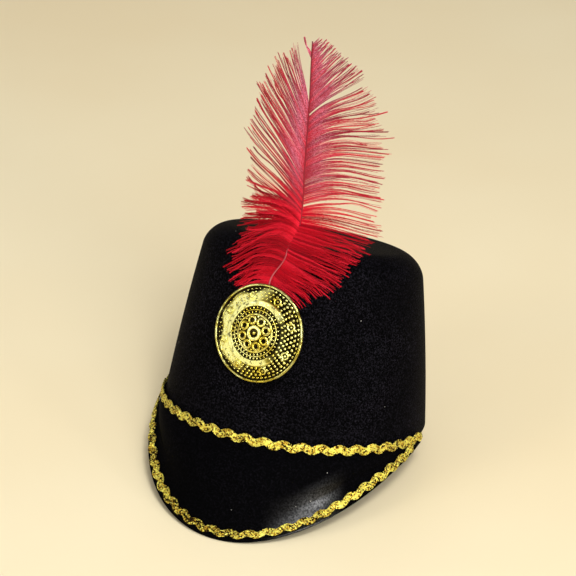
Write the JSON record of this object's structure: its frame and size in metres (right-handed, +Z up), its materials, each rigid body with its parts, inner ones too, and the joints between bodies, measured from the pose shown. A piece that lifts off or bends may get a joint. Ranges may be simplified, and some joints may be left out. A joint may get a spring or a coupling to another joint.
{
  "type": "shako hat",
  "caption": "Tall rounded felt hat leaned on its drooping front peak, with wavy gold braids, a round embossed badge and one upright feather plume.",
  "frame": {"origin": "on the floor, under the middle of the hat's box", "axes": "+Z up, with the plume; -Y towards the tip of the peak; the hat's left and right sides lie along X; it leans back on the back of its rim"},
  "size_m": [0.1934, 0.2374, 0.3198],
  "materials": {
    "black_velvet": "black flocked felt with a short soft pile",
    "gold_braid": "woven metallic gold thread",
    "gilt_badge": "bright gilt, pressed in relief, with dark hollows",
    "red_feather": "dyed red ostrich barbs"
  },
  "bodies": {
    "root": {"crown": "black_velvet", "peak": "black_velvet", "crown_braid": "gold_braid", "peak_braid": "gold_braid", "badge": "gilt_badge", "plume": "red_feather"}
  },
  "joints": []
}
